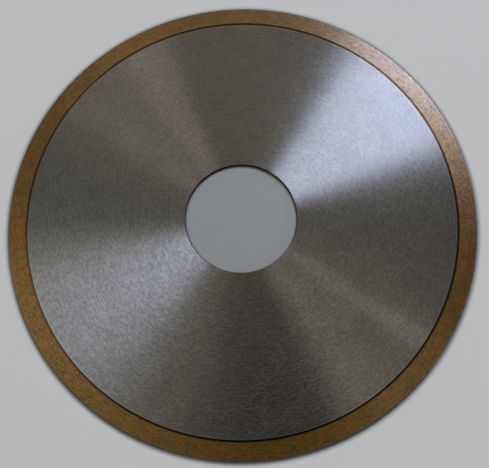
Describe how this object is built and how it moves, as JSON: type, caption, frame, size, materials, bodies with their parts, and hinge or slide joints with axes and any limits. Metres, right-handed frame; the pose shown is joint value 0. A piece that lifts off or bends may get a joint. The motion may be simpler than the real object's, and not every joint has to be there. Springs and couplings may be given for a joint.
{
  "type": "diamond saw blade",
  "caption": "Round saw blade with a flat ground steel core, a plain arbor bore and a continuous sintered diamond rim for wet cutting of tile and stone.",
  "frame": {"origin": "on the bore axis, at the middle of the blade's thickness", "axes": "+Z along the bore axis and up from the face the blade lies on; X and Y lie in the disc and are interchangeable"},
  "size_m": [0.25, 0.25, 0.0024],
  "materials": {
    "core_steel": "satin, ground in circles about the bore",
    "bronze_bond": "matte sintered bronze with fine diamond grit"
  },
  "bodies": {
    "root": {"steel_core": "core_steel", "diamond_rim": "bronze_bond"}
  },
  "joints": []
}
